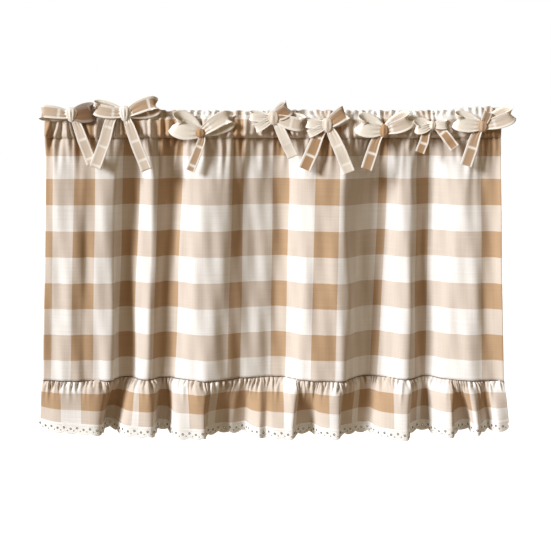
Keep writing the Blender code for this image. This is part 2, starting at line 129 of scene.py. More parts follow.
# Rise of the heading's top edge in mm, by mark across
headingRise = (
    (44, 0), (62, 2), (74, 4), (84, 10), (94, 10), (104, 3), (130, 2), (160, 0),
    (250, -1), (300, 1), (350, 0), (450, 0), (460, 6), (490, 8), (500, 4),
)
# Where the panel's stripes change, in marks across at mid height; tan comes first
panelStripes = (
    53, 74, 95, 120, 137, 156, 179, 231, 242, 272, 288, 314, 338, 378, 386, 417, 430, 481, 505,
)
ruffleStripes = (
    63, 83, 134, 140, 172, 190, 209, 216, 284, 297, 329, 340, 353, 359, 393, 409, 418, 422, 430,
    449, 470, 477, 490,
)
# Heights in metres where the check's rows change; a tan row lies under each even place
rowHeights = (-0.045, -0.087, -0.1304, -0.1812, -0.232, -0.2828, -0.3336, -0.3844, -0.4352, -0.486)
# The heading is turned over its rod, so its lowest tan row reaches up further
headingRows = (-0.0150, *rowHeights[1:])
ruffleRows = (-0.4510, -0.5015, -0.553, -0.590, -0.632)
checkRow = 0.0508  # a whole row, above and below the heights that are listed
lastStripe = 0.03

levels = {
    "foldsStart": -0.04, "foldsFull": -0.17, "panelMiddle": -0.30, "topMarks": -0.104,
    "footMarks": -0.503, "pocketStitch": -0.0527, "panelFoot": -0.5270, "ruffleTop": -0.5273,
    "hem": -0.6200, "stripeMarks": -0.249,
}
foldShare = (0.55, 0.45)  # how far the folds stand out at the heading, and what they gain below it
fineSteps = {"panel": 6000, "hem": 8000, "lace": 2400}
gatherShape = {"steps": (0.6, 1.45), "widths": (0.26, 0.42), "spread": 5.0}


# One named column of a table.
def column(table, names, name):
    return np.array([row[names.index(name)] for row in table], float)


# A smooth curve through values at knots, read at each point of at.
def curveThrough(knots, values, at):
    slope = np.empty_like(values)
    slope[1:-1] = (values[2:] - values[:-2]) / (knots[2:] - knots[:-2])
    slope[0] = (values[1] - values[0]) / (knots[1] - knots[0])
    slope[-1] = (values[-1] - values[-2]) / (knots[-1] - knots[-2])
    i = np.clip(np.searchsorted(knots, at, side="right") - 1, 0, len(knots) - 2)
    span = knots[i + 1] - knots[i]
    t = (at - knots[i]) / span
    return (
        (2 * t**3 - 3 * t**2 + 1) * values[i]
        + (t**3 - 2 * t**2 + t) * span * slope[i]
        + (3 * t**2 - 2 * t**3) * values[i + 1]
        + (t**3 - t**2) * span * slope[i + 1]
    )


# Goes smoothly from 0 at low to 1 at high.
def smoothStep(low, high, value):
    t = np.clip((value - low) / (high - low), 0.0, 1.0)
    return t * t * (3 - 2 * t)


# A mark across the front as metres, for a point that lies near in front of the rod.
def across(mark, scale, near):
    return (mark - marks["middle"]) * scale * (1 - near / marks["eye"])


# The length run along a line up to each of its points.
def runLength(x, near):
    steps = np.hypot(np.diff(x), np.diff(near))
    return np.concatenate([[0.0], np.cumsum(steps)])


topMarks = column(panelFolds, foldNames, "top")
footMarks = column(panelFolds, foldNames, "foot")
foldNear = column(panelFolds, foldNames, "near") / 1000


# Where the folds lie across and how near they come, at one level.
def foldKeys(level):
    down = (levels["topMarks"] - level) / (levels["topMarks"] - levels["footMarks"])
    scale = marks["atTop"] + (marks["atFoot"] - marks["atTop"]) * down
    grown = foldShare[0] + foldShare[1] * smoothStep(levels["foldsStart"], levels["foldsFull"], level)
    near = foldNear * grown
    return across(topMarks + (footMarks - topMarks) * down, scale, near), near


panelKnots = runLength(*foldKeys(levels["panelMiddle"]))
fineQ = np.linspace(0, panelKnots[-1], fineSteps["panel"])


# The panel's line at one level, across and near, at each of the knot values.
def panelAt(knots, level):
    x, near = foldKeys(level)
    return curveThrough(panelKnots, x, knots), curveThrough(panelKnots, near, knots)


# Knot values spaced by length along a level, closer where the cloth curls.
def panelColumns(count, level, curl):
    x, near = panelAt(fineQ, level)
    dx, dy = np.gradient(x), np.gradient(near)
    turn = np.abs(np.gradient(np.unwrap(np.arctan2(dy, dx))))
    cost = np.cumsum(np.hypot(dx, dy) + curl * turn)
    return np.interp(np.linspace(cost[0], cost[-1], count), cost, fineQ)


# A section moved along its own front-facing normal.
def pushed(x, near, push):
    dx, dy = np.gradient(x), np.gradient(near)
    size = np.hypot(dx, dy)
    return x - dy / size * push, near + dx / size * push


# Gathers: small folds that start at a stitched line and die away below it
def makeGathers(rng, length, spacing, height, fade, drift):
    centres = []
    at = rng.uniform(0, spacing)
    while at < length:
        centres.append(at)
        at += rng.uniform(*gatherShape["steps"]) * spacing
    many = len(centres)
    return {
        "centre": np.array(centres),
        "height": rng.uniform(*height, many),
        "fade": rng.uniform(*fade, many),
        "drift": rng.uniform(-drift, drift, many),
        "width": rng.uniform(*gatherShape["widths"], many) * spacing,
    }


# How far the gathers push the cloth out, at places along and at depths below the line.
def gatherRise(gathers, along, below, spread=gatherShape["spread"]):
    total = np.zeros(np.broadcast(along, below).shape)
    for i in range(len(gathers["centre"])):
        shift = along - gathers["centre"][i] - gathers["drift"][i] * below
        wide = gathers["width"][i] * (1 + spread * below)
        fall = np.exp(-((below / gathers["fade"][i]) ** 2))
        total += gathers["height"][i] * fall * np.exp(-((shift / wide) ** 2))
    return total


# Meshes
# The normals of a grid of points, out of its front.
def gridNormals(grid):
    normal = np.cross(np.gradient(grid, axis=1), np.gradient(grid, axis=0))
    return normal / np.maximum(np.linalg.norm(normal, axis=2, keepdims=True), 1e-9)


# Rows of vectors, each made one long.
def unit(vectors):
    return vectors / np.linalg.norm(vectors, axis=1, keepdims=True)


# Values down the columns and values along the rows, as one layer of a grid.
def gridLayer(downColumns, alongRows):
    return np.stack(np.broadcast_arrays(downColumns[:, None], alongRows[None, :]), axis=2)


# A closed sheet round a grid of middle points, with UV layers given for each grid point.
def closedSheet(grid, thickness, layers, keep=None):
    columns, rows = grid.shape[:2]
    offset = gridNormals(grid) * thickness / 2
    points = np.concatenate([(grid + offset).reshape(-1, 3), (grid - offset).reshape(-1, 3)])
    count = columns * rows
    i, j = np.meshgrid(np.arange(columns - 1), np.arange(rows - 1), indexing="ij")
    a = (i * rows + j).ravel()
    faces = np.stack([a, a + 1, a + rows + 1, a + rows], axis=1)
    if keep is not None:
        faces = faces[keep.ravel()]
    edges = np.concatenate([np.stack([faces[:, k], faces[:, (k + 1) % 4]], axis=1) for k in range(4)])
    code = np.minimum(edges[:, 0], edges[:, 1]) * count + np.maximum(edges[:, 0], edges[:, 1])
    _, place, times = np.unique(code, return_index=True, return_counts=True)
    rim = edges[place[times == 1]]
    walls = np.stack([rim[:, 1], rim[:, 0], rim[:, 0] + count, rim[:, 1] + count], axis=1)
    quads = np.concatenate([faces, faces[:, ::-1] + count, walls])
    doubled = {name: np.concatenate([v.reshape(-1, 2)] * 2) for name, v in layers.items()}
    used = np.zeros(len(points), bool)
    used[quads.ravel()] = True
    where = np.cumsum(used) - 1
    return {
        "points": points[used],
        "quads": where[quads],
        "layers": {name: v[used] for name, v in doubled.items()},
    }


# Several bodies of points, quads and UV layers as one.
def joined(bodies):
    points, quads, layers, count = [], [], {}, 0
    for body in bodies:
        points.append(body["points"])
        quads.append(body["quads"] + count)
        for name, values in body["layers"].items():
            layers.setdefault(name, []).append(values)
        count += len(body["points"])
    return {
        "points": np.concatenate(points),
        "quads": np.concatenate(quads),
        "layers": {name: np.concatenate(values) for name, values in layers.items()},
    }


# A smooth mesh object at the origin, riding on the curtain.
def newPiece(name, body, material):
    mesh = bpy.data.meshes.new(name)
    quads = body["quads"].astype(np.int32)
    mesh.vertices.add(len(body["points"]))
    mesh.vertices.foreach_set("co", body["points"].astype(np.float32).ravel())
    mesh.loops.add(quads.size)
    mesh.loops.foreach_set("vertex_index", quads.ravel())
    mesh.polygons.add(len(quads))
    mesh.polygons.foreach_set("loop_start", np.arange(0, quads.size, 4, dtype=np.int32))
    mesh.polygons.foreach_set("use_smooth", np.ones(len(quads), bool))
    mesh.update(calc_edges=True)
    for key, values in body["layers"].items():
        uv = mesh.uv_layers.new(name=key)
        uv.data.foreach_set("uv", values[quads.ravel()].astype(np.float32).ravel())
    mesh.validate()
    mesh.materials.append(material)
    piece = bpy.data.objects.new(name, mesh)
    bpy.context.scene.collection.objects.link(piece)
    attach(piece, "root")
    return piece


# A height as a place among the check's rows, one for each row.
def rowUnits(z, heights):
    heights = np.array(heights)
    count = len(heights)
    units = np.interp(-z, -heights, np.arange(count))
    units = np.where(z > heights[0], (heights[0] - z) / checkRow, units)
    return np.where(z < heights[-1], count - 1 + (heights[-1] - z) / checkRow, units)


# A place along the cloth as a place among the stripes, one for each stripe.
def stripeUnits(at, places, values, first):
    starts = np.interp(places, values, at)
    spots = np.concatenate([[at[0] - first], starts, [at[-1] + lastStripe]])
    return np.interp(at, spots, np.arange(len(spots)))


# Materials
# Plain weave: threads over and under at a pitch in metres, as a bump.
def threadBump(tree, weave, pitch, depth, extra=None):
    split = addNode(tree, "ShaderNodeSeparateXYZ", i0=weave)
    waves = []
    for side in (0, 1):
        at = addNode(tree, "ShaderNodeMath", {"operation": "MULTIPLY"}, i0=(split, side), i1=math.pi / pitch)
        waves.append(addNode(tree, "ShaderNodeMath", {"operation": "SINE"}, i0=(at, 0)))
    cross = addNode(tree, "ShaderNodeMath", {"operation": "MULTIPLY"}, i0=(waves[0], 0), i1=(waves[1], 0))
    height = (cross, 0)
    if extra is not None:
        height = (addNode(tree, "ShaderNodeMath", {"operation": "ADD"}, i0=height, i1=extra), 0)
    return cross, addNode(tree, "ShaderNodeBump", i0=1.0, i1=depth, i3=height)


# Joins a colour to a material's shader, darkened by a grey (painted shade where the threads lie low, times any
# uneven tone), and their bump.
def dress(tree, shader, colour, low, bump):
    grey = addNode(tree, "ShaderNodeCombineColor", i0=low, i1=low, i2=low)
    dark = addNode(tree, "ShaderNodeMix", multiplyMix, i0=1.0, i6=colour, i7=(grey, 0))
    tree.links.new(dark.outputs[2], shader.inputs["Base Color"])
    tree.links.new(bump.outputs[0], shader.inputs["Normal"])


# One where the cloth's dyed stripe is tan, with slightly uneven edges.
def stripeMask(tree, units, side, wobble):
    split = addNode(tree, "ShaderNodeSeparateXYZ", i0=units)
    moved = addNode(tree, "ShaderNodeMath", {"operation": "ADD"}, i0=(split, side), i1=wobble)
    half = addNode(tree, "ShaderNodeMath", {"operation": "MULTIPLY"}, i0=(moved, 0), i1=0.5)
    part = addNode(tree, "ShaderNodeMath", {"operation": "FRACT"}, i0=(half, 0))
    # part is 0 to 1 over a tan and a cream stripe, so tan is where it is under a half
    return addNode(tree, "ShaderNodeMath", {"operation": "LESS_THAN"}, i0=(part, 0), i1=0.5)


checkCloth = {
    "tan": "#B99A78",
    "cream": "#F1EFEA",
    "roughness": 0.86, "sheen": 0.12,
    "threadPitch": 0.0011,  # about twice a real thread's, guessed at 0.5 mm, which is too fine to show
    "threadDepth": 0.00012, "paintedThreadShade": 0.955, "edgeScale": 900.0, "edgeShift": (0.02, -0.01),
    "slub": 0.10, "slubRange": (0.7, 1.3),
    "slubScales": ((620.0, 9.0, 1.0), (9.0, 620.0, 1.0)),  # drawn coarser than real slubs would be
}


# Yarn-dyed cotton check: tan and cream threads, so crossings of the two are a half tone. To the eye it is
# matt, with uneven threads and edges of the stripes that waver by a thread.
def makeCheckCloth():
    cloth = checkCloth
    material, tree, shader = newMaterial("wovenCottonCheck", cloth["roughness"], cloth["sheen"])
    flat = {"noise_dimensions": "2D"}
    units, weave = ((addNode(tree, "ShaderNodeUVMap", {"uv_map": name}), 0) for name in ("check", "weave"))
    jitter = addNode(tree, "ShaderNodeTexNoise", flat, Vector=weave, Scale=cloth["edgeScale"], Detail=1.0)
    size, start = cloth["edgeShift"]
    shift = addNode(tree, "ShaderNodeMath", {"operation": "MULTIPLY_ADD"}, i0=(jitter, 0), i1=size, i2=start)
    warp, weft = (stripeMask(tree, units, side, (shift, 0)) for side in (0, 1))
    both = addNode(tree, "ShaderNodeMath", {"operation": "ADD"}, i0=(warp, 0), i1=(weft, 0))
    dyed = addNode(tree, "ShaderNodeMath", {"operation": "MULTIPLY"}, i0=(both, 0), i1=0.5)
    tones = {"i6": linear(cloth["cream"]), "i7": linear(cloth["tan"])}
    check = addNode(tree, "ShaderNodeMix", colourMix, i0=(dyed, 0), **tones)
    # slubs: long uneven threads down and across
    streaks = []
    for stretch in cloth["slubScales"]:
        scaled = addNode(tree, "ShaderNodeMapping", i0=weave, i3=stretch)
        streaks.append(addNode(tree, "ShaderNodeTexNoise", flat, Vector=(scaled, 0), Scale=1.0, Detail=2.0))
    slubs = addNode(tree, "ShaderNodeMath", {"operation": "ADD"}, i0=(streaks[0], 0), i1=(streaks[1], 0))
    low, high = cloth["slubRange"]
    shade = addNode(tree, "ShaderNodeMapRange", i0=(slubs, 0), i1=low, i2=high, i3=1.0 - cloth["slub"], i4=1.0)
    cross, bump = threadBump(tree, weave, cloth["threadPitch"], cloth["threadDepth"], (slubs, 0))
    # painted shade: the colour is a few percent darker where the threads dip low
    thread = addNode(tree, "ShaderNodeMapRange", i0=(cross, 0), i1=-1.0, i2=1.0, i3=cloth["paintedThreadShade"], i4=1.0)
    dim = addNode(tree, "ShaderNodeMath", {"operation": "MULTIPLY"}, i0=(shade, 0), i1=(thread, 0))
    dress(tree, shader, (check, 2), (dim, 0), bump)
    return material


laceCotton = {
    "white": "#FBFBF8",
    "shade": "#EFEEE8",
    "roughness": 0.8, "sheen": 0.1,
    "threadPitch": 0.0009,  # about twice a real thread's as guessed, which is too fine to show
    "threadDepth": 0.00018, "fluffScale": 420.0, "fluffRange": (0.35, 0.65),
}


# Bleached cotton eyelet lace: close satin stitches that catch the light in fine ribs.
def makeLaceCotton():
    cloth = laceCotton
    material, tree, shader = newMaterial("bleachedEyeletCotton", cloth["roughness"], cloth["sheen"])
    weave = (addNode(tree, "ShaderNodeUVMap", {"uv_map": "weave"}), 0)
    flat = {"noise_dimensions": "2D"}
    fluff = addNode(tree, "ShaderNodeTexNoise", flat, Vector=weave, Scale=cloth["fluffScale"], Detail=3.0)
    bump = threadBump(tree, weave, cloth["threadPitch"], cloth["threadDepth"], (fluff, 0))[1]
    low, high = cloth["fluffRange"]
    tone = addNode(tree, "ShaderNodeMapRange", i0=(fluff, 0), i1=low, i2=high, i3=0.0, i4=1.0)
    tones = {"i6": linear(cloth["shade"]), "i7": linear(cloth["white"])}
    colour = addNode(tree, "ShaderNodeMix", colourMix, i0=(tone, 0), **tones)
    tree.links.new(colour.outputs[2], shader.inputs["Base Color"])
    tree.links.new(bump.outputs[0], shader.inputs["Normal"])
    return material


tieRibbon = {
    "tan": "#B4916C",
    # deep: a dark brown that paints shade on loops lying in shadow
    "deep": "#6B4A2E",
    "pale": "#F0EADD",
    "edge": "#F4EFE5",
    "edgeShare": 0.66, "edgeSoft": 0.07, "blockLong": 0.038, "barShare": 0.13, "barSoft": 0.035,
    "roughness": 0.84, "sheen": 0.12,
    "threadPitch": 0.0010,  # about twice a real thread's, guessed at 0.5 mm, which is too fine to show
    "threadDepth": 0.00012, "paintedThreadShade": 0.93,
}


# Narrow check ties: tan blocks between cream bars, and turned, stitched cream edges, all soft at their borders.
def makeTieRibbon():
    cloth = tieRibbon
    material, tree, shader = newMaterial("stitchedCheckTie", cloth["roughness"], cloth["sheen"])
    names = ("check", "weave", "tone")
    place, weave, tone = ((addNode(tree, "ShaderNodeUVMap", {"uv_map": name}), 0) for name in names)
    split = addNode(tree, "ShaderNodeSeparateXYZ", i0=place)
    side = addNode(tree, "ShaderNodeMath", {"operation": "ABSOLUTE"}, i0=(split, 0))
    inner, outer = (cloth["edgeShare"] + k * cloth["edgeSoft"] for k in (-1, 1))
    edge = addNode(tree, "ShaderNodeMapRange", i0=(side, 0), i1=inner, i2=outer, i3=0.0, i4=1.0)
    # each bar lies in the middle of its turn, so that both of its sides can fade
    turns = addNode(
        tree, "ShaderNodeMath", {"operation": "MULTIPLY_ADD"}, i0=(split, 1), i1=1 / cloth["blockLong"],
        i2=0.5 - cloth["barShare"] / 2,
    )
    part = addNode(tree, "ShaderNodeMath", {"operation": "FRACT"}, i0=(turns, 0))
    offset = addNode(tree, "ShaderNodeMath", {"operation": "SUBTRACT"}, i0=(part, 0), i1=0.5)
    far = addNode(tree, "ShaderNodeMath", {"operation": "ABSOLUTE"}, i0=(offset, 0))
    inner, outer = (cloth["barShare"] / 2 + k * cloth["barSoft"] for k in (-1, 1))
    bar = addNode(tree, "ShaderNodeMapRange", i0=(far, 0), i1=inner, i2=outer, i3=1.0, i4=0.0)
    # the tone's second share mixes in the deep brown: painted shade for loops that lie in shadow
    deep = addNode(tree, "ShaderNodeSeparateXYZ", i0=tone)
    colour = linear(cloth["pale"])
    for share, second in (((deep, 0), "tan"), ((bar, 0), "edge"), ((edge, 0), "edge"), ((deep, 1), "deep")):
        colour = (addNode(tree, "ShaderNodeMix", colourMix, i0=share, i6=colour, i7=linear(cloth[second])), 2)
    cross, bump = threadBump(tree, weave, cloth["threadPitch"], cloth["threadDepth"])
    # painted shade: the colour is a few percent darker where the threads dip low
    thread = addNode(tree, "ShaderNodeMapRange", i0=(cross, 0), i1=-1.0, i2=1.0, i3=cloth["paintedThreadShade"], i4=1.0)
    dress(tree, shader, colour, (thread, 0), bump)
    return material


twist = {"roughness": 0.7, "sheen": 0.1, "plies": 1500.0, "darkPly": 0.72}


# Twisted sewing thread, dull and uneven, with lighter and darker plies.
def makeThread(name, hexColour):
    material, tree, shader = newMaterial(name, twist["roughness"], twist["sheen"])
    place = addNode(tree, "ShaderNodeTexCoord")
    plies = addNode(tree, "ShaderNodeTexNoise", Vector=(place, 3), Scale=twist["plies"], Detail=1.0)
    base = linear(hexColour)
    dark = (*(c * twist["darkPly"] for c in base[:3]), 1.0)
    colour = addNode(tree, "ShaderNodeMix", colourMix, i0=(plies, 0), i6=dark, i7=base)
    tree.links.new(colour.outputs[2], shader.inputs["Base Color"])
    return material


clothMaterial = makeCheckCloth()
laceMaterial = makeLaceCotton()
tieMaterial = makeTieRibbon()
tanThread = makeThread("tanSewingThread", "#B99268")
# Dark brown seam thread: the stitching is real, but its dark colour is painted shade for the shadow line along
# the seam
seamShadeThread = makeThread("seamShadowThread", "#5B3C1F")
whiteThread = makeThread("whiteLaceThread", "#EFEAE0")
# Dark rim thread: the buttonholed rims are real, but their dark colour is painted shade for the shadow inside
# each eyelet hole
eyeletShadeThread = makeThread("eyeletRimShadeThread", "#4A433A")
print("materials made")

# Panel
panel = {
    "columns": 440, "rows": 100, "cloth": 0.0009, "curl": 0.0045, "crowding": 1.2, "headGap": 0.0003,
    "softFrom": 0.09, "stripeScale": marks["atTop"] * 0.62 + marks["atFoot"] * 0.38,
    "firstStripe": 0.010,
}
rng = np.random.default_rng(11)
panelQ = panelColumns(panel["columns"], levels["panelMiddle"], panel["curl"])
topLength = runLength(*panelAt(fineQ, levels["pocketStitch"]))
midLength = runLength(*panelAt(fineQ, levels["panelMiddle"]))
alongTop = np.interp(panelQ, fineQ, topLength)
alongMid = np.interp(panelQ, fineQ, midLength)
topX = panelAt(panelQ, levels["pocketStitch"])[0]

# Knots of the bows pull the gathers together round them
knotPlaces = (67, 121, 201, 273, 325, 382, 431, 482)
knotDown = (122, 119, 130, 118, 121.5, 130, 124, 127)
knotPull = {"near": 0.01, "reachAlong": 0.028, "reachDown": 0.022, "share": 0.9}


# Places along the cloth, crowded where a knot draws the gathers together.
def drawnIn(along, z):
    result = along + np.zeros(np.broadcast(along, z).shape)
    for place, down in zip(knotPlaces, knotDown):
        centre = np.interp(across(place, marks["atTop"], knotPull["near"]), topX, alongTop)
        height = -(down - marks["topRow"]) * marks["down"]
        near = np.exp(-(((along - centre) / knotPull["reachAlong"]) ** 2))
        near = near * np.exp(-(((z - height) / knotPull["reachDown"]) ** 2))
        result = result + knotPull["share"] * (along - centre) * near
    return result


headGathers = makeGathers(rng, topLength[-1], 0.0155, (0.0045, 0.0105), (0.014, 0.085), 0.10)


# Size, wave length, lean and start of the soft folds
softWaves = (
    (0.0011, 0.074, 0.9, 0.3), (0.0009, 0.047, -1.6, 2.1), (0.0007, 0.113, 2.3, 4.0), (0.0005, 0.029, 3.1, 1.2),
)
softLean = 9


# Broad shallow folds between the main ones.
def softFolds(along, z):
    total = np.zeros(np.broadcast(along, z).shape)
    for size, wave, lean, start in softWaves:
        total = total + size * np.sin(2 * np.pi * along / wave + lean * z * softLean + start)
    return total


def makePanel():
    t = np.linspace(0, 1, panel["rows"]) ** panel["crowding"]
    z = levels["pocketStitch"] - panel["headGap"] + (levels["panelFoot"] - levels["pocketStitch"]) * t
    below = (levels["pocketStitch"] - z)[None, :]
    push = gatherRise(headGathers, drawnIn(alongTop[:, None], z[None, :]), below)
    push = push + softFolds(alongMid[:, None], z[None, :]) * smoothStep(0.0, panel["softFrom"], below)
    grid = np.empty((panel["columns"], panel["rows"], 3))
    for row in range(panel["rows"]):
        x, near = pushed(*panelAt(panelQ, z[row]), push[:, row])
        grid[:, row] = np.stack([x, -near, np.full_like(x, z[row])], axis=1)
    stripeX = across(np.array(panelStripes, float), panel["stripeScale"], 0.0)
    stripesAt = panelAt(panelQ, levels["stripeMarks"])[0]
    columnsAt = stripeUnits(alongMid, stripeX, stripesAt, panel["firstStripe"])
    layers = {"check": gridLayer(columnsAt, rowUnits(z, rowHeights)), "weave": gridLayer(alongMid, z)}
    piece = newPiece("panelCloth", closedSheet(grid, panel["cloth"], layers), clothMaterial)
    return piece, grid, columnsAt


panelCloth, panelGrid, panelStripesAt = makePanel()
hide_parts("curtain_panel")
print("panel made")

# Heading: one strip turned over to make the rod pocket, with a short frill above it
headingNames = ("near", "level", "gather", "wave")
headingProfile = (
    (7.8, -46.5, 1.15, 0.0), (8.6, -38.0, 1.15, 0.0), (9.4, -28.0, 1.05, 0.0), (9.2, -19.0, 0.9, 0.1),
    (5.2, -12.6, 0.7, 0.3), (2.6, -9.0, 0.45, 0.5), (2.0, -5.0, 0.4, 0.8), (1.2, -1.2, 0.3, 1.0),
    (0.0, 0.0, 0.0, 1.0), (-1.2, -1.2, -0.3, 1.0), (-2.0, -5.0, -0.4, 0.8), (-2.6, -9.0, -0.45, 0.5),
    (-5.2, -12.6, -0.7, 0.3), (-8.4, -18.0, -0.8, 0.1), (-9.2, -28.0, -0.8, 0.0), (-9.0, -38.0, -0.7, 0.0),
    (-8.0, -46.5, -0.4, 0.0),
)
heading = {
    "rows": 52, "cloth": 0.0009, "frontLap": 0.0004, "backLap": 0.0006, "halfLap": 0.002,
    "frillFrom": -0.012, "frillWave": 0.0032, "frillPitch": 0.0135, "frillTurn": (1.4, 57),
    "frillSway": 0.0012, "edgeWave": 0.0015, "edgePitch": 0.019, "edgeTurn": (2.0, 41),
    "checkShare": 0.98, "fullness": 1.25,
}


def makeHeading():
    profile = {name: column(headingProfile, headingNames, name) for name in headingNames}
    ends = panelAt(panelQ, levels["pocketStitch"])[1]
    count = panel["columns"]
    many = len(headingProfile) + 2
    near = np.empty((count, many))
    near[:, 1:-1] = profile["near"] / 1000
    near[:, 0] = ends + heading["frontLap"]
    near[:, -1] = ends - heading["backLap"]
    level = np.concatenate([[levels["pocketStitch"]], profile["level"] / 1000, [levels["pocketStitch"]]])
    gather = np.concatenate([[1.0], profile["gather"], [1.0]])
    wave = np.concatenate([[0.0], profile["wave"], [0.0]])
    lap = heading["halfLap"]
    knots = runLength(np.concatenate([[lap], profile["near"] / 1000, [-lap]]), level)
    at = np.linspace(0, knots[-1], heading["rows"])
    nearAt = np.stack([curveThrough(knots, near[i], at) for i in range(count)])
    levelAt = np.minimum(curveThrough(knots, level, at), 0.0)
    gatherAt = curveThrough(knots, gather, at)
    waveAt = np.clip(curveThrough(knots, wave, at), 0, 1)
    rise = np.interp(topX / marks["atTop"] + marks["middle"], *np.array(headingRise, float).T) / 1000
    along = drawnIn(alongTop[:, None], levelAt[None, :])
    ridges = gatherRise(headGathers, along, np.zeros_like(levelAt)[None, :])
    backRidges = gatherRise(backGathers, alongTop[:, None], np.zeros_like(levelAt)[None, :])
    isBack = (at > knots[-1] / 2)[None, :] & (gatherAt < 0)[None, :]
    push = np.where(isBack, backRidges * gatherAt, ridges * gatherAt)
    turn, rate = heading["frillTurn"]
    frill = np.sin(2 * np.pi * along / heading["frillPitch"] + turn * np.sin(alongTop * rate)[:, None])
    nearAt = nearAt + push + waveAt * heading["frillWave"] * frill
    lifted = np.interp(levelAt, (heading["frillFrom"], 0.0), (0.0, 1.0))[None, :]
    turn, rate = heading["edgeTurn"]
    edge = np.sin(2 * np.pi * alongTop / heading["edgePitch"] + turn * np.sin(alongTop * rate))[:, None]
    z = levelAt[None, :] + lifted * (rise[:, None] + heading["edgeWave"] * edge)
    x = topX[:, None] - heading["frillSway"] * frill * waveAt
    grid = np.stack([x, -nearAt, z], axis=2)
    up = levels["pocketStitch"] + np.minimum(at, at[-1] - at) * heading["checkShare"]
    layers = {
        "check": gridLayer(panelStripesAt, rowUnits(up, headingRows)),
        "weave": gridLayer(alongTop * heading["fullness"], -at),
    }
    return newPiece("headingCloth", closedSheet(grid, heading["cloth"], layers), clothMaterial), knots[-1]


backGathers = makeGathers(rng, topLength[-1], 0.0125, (0.0012, 0.0028), (0.02, 0.05), 0.0)
headingCloth, headingWrap = makeHeading()
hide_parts("heading")
print("heading made")

# Ruffle
ruffle = {
    "columns": 1260, "rows": 38, "cloth": 0.0009, "crowding": 1.35, "tuck": 0.0018, "tuckEnds": 12,
    "puff": 0.0042, "puffReach": 1.5, "puffFade": 2.2, "allowanceUp": 0.004, "allowanceBack": 0.003,
    "gatherStart": 0.10, "gatherGrows": 20, "longSpread": 2.0, "creaseSpread": 18.0,
    "creaseWidth": 0.60, "pull": 0.75, "stripesAt": 0.6, "firstStripe": 0.020,
}
hemNear = column(ruffleFolds, ruffleNames, "near") / 1000
hemMarks = column(ruffleFolds, ruffleNames, "hem")
hemX = across(hemMarks, marks["atHem"], hemNear)
hemKnots = runLength(hemX, hemNear)
hemFine = np.linspace(0, hemKnots[-1], fineSteps["hem"])
hemLength = runLength(curveThrough(hemKnots, hemX, hemFine), curveThrough(hemKnots, hemNear, hemFine))
seamGathers = makeGathers(rng, hemLength[-1], 0.0105, (0.0018, 0.0046), (0.010, 0.036), 0.12)
longGathers = makeGathers(rng, hemLength[-1], 0.047, (0.0012, 0.0036), (0.05, 0.11), 0.15)
seamCreases = makeGathers(rng, hemLength[-1], 0.0105, (-0.0110, -0.0045), (0.006, 0.016), 0.30)
seamCreases["width"] = seamCreases["width"] * ruffle["creaseWidth"]


# Ruffle points for places along the hem and depths below the seam, 0 to 1.
def ruffleAt(along, below):
    at = np.interp(along, hemLength, hemFine)
    x = curveThrough(hemKnots, hemX, at)
    near = curveThrough(hemKnots, hemNear, at)
    hemZ = levels["hem"] + curveThrough(hemKnots, column(ruffleFolds, ruffleNames, "lift") / 1000, at)
    seamMarks = np.interp(at, hemKnots, column(ruffleFolds, ruffleNames, "seam"))
    seamX, seamNear = panelAt(np.interp(seamMarks, footMarks, panelKnots), levels["panelFoot"])
    drop = (levels["ruffleTop"] - hemZ)[:, None] * below[None, :]
    rise = gatherRise(seamGathers, along[:, None], drop)
    rise = rise + gatherRise(longGathers, along[:, None], drop, ruffle["longSpread"])
    rise = rise + gatherRise(seamCreases, along[:, None], drop, ruffle["creaseSpread"])
    puff = ruffle["puff"] * np.sin(np.pi * np.clip(below * ruffle["puffReach"], 0, 1))
    puff = puff * np.exp(-ruffle["puffFade"] * below)
    grid = np.empty((len(along), len(below), 3))
    for j, t in enumerate(below):
        pull = t ** ruffle["pull"]
        grown = ruffle["gatherStart"] + (1 - ruffle["gatherStart"]) * min(t * ruffle["gatherGrows"], 1)
        push = rise[:, j] * grown + puff[j] - ruffle["tuck"] * max(0.0, 1 - t * ruffle["tuckEnds"])
        px, pn = pushed(seamX + (x - seamX) * pull, seamNear + (near - seamNear) * pull, push)
        grid[:, j] = np.stack([px, -pn, levels["ruffleTop"] + (hemZ - levels["ruffleTop"]) * t], axis=1)
    return grid


def makeRuffle():
    along = np.linspace(0, hemLength[-1], ruffle["columns"])
    below = np.linspace(0, 1, ruffle["rows"]) ** ruffle["crowding"]
    grid = ruffleAt(along, below)
    # the seam allowance stands up behind the panel's foot
    grid[:, 0] += np.array([0.0, ruffle["allowanceBack"], ruffle["allowanceUp"]])
    stripeX = across(np.array(ruffleStripes, float), marks["atHem"], 0.0)
    middleAcross = ruffleAt(along, np.array([ruffle["stripesAt"]]))[:, 0, 0]
    columnsAt = stripeUnits(along, stripeX, np.maximum.accumulate(middleAcross), ruffle["firstStripe"])
    level = levels["ruffleTop"] + (levels["hem"] - levels["ruffleTop"]) * below
    layers = {"check": gridLayer(columnsAt, rowUnits(level, ruffleRows)), "weave": gridLayer(along, level)}
    return newPiece("ruffleCloth", closedSheet(grid, ruffle["cloth"], layers), clothMaterial)


ruffleCloth = makeRuffle()
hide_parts("ruffle")
print("ruffle made")

# Lace: scallops with one large and two small eyelets each, hung from the hem
lace = {
    "scallops": 52, "perScallop": 32, "rows": 23, "cloth": 0.0008, "drop": 0.0162, "scallop": 0.0046,
    "roundness": 0.8, "picots": 9, "picot": 0.0006, "flare": 0.30, "overlap": 0.0012, "offHem": 0.0006,
    "edgeCord": (0.00030, 0.0016, 0.0006),  # height, place and width of the cord along the scallops
    "headCord": (0.00025, 0.0012, 0.0007), "rimWide": 0.00042,
    "petals": (0.00022, 1.75, 0.35, 4),  # height, ring and width in hole radii, and half their number
}
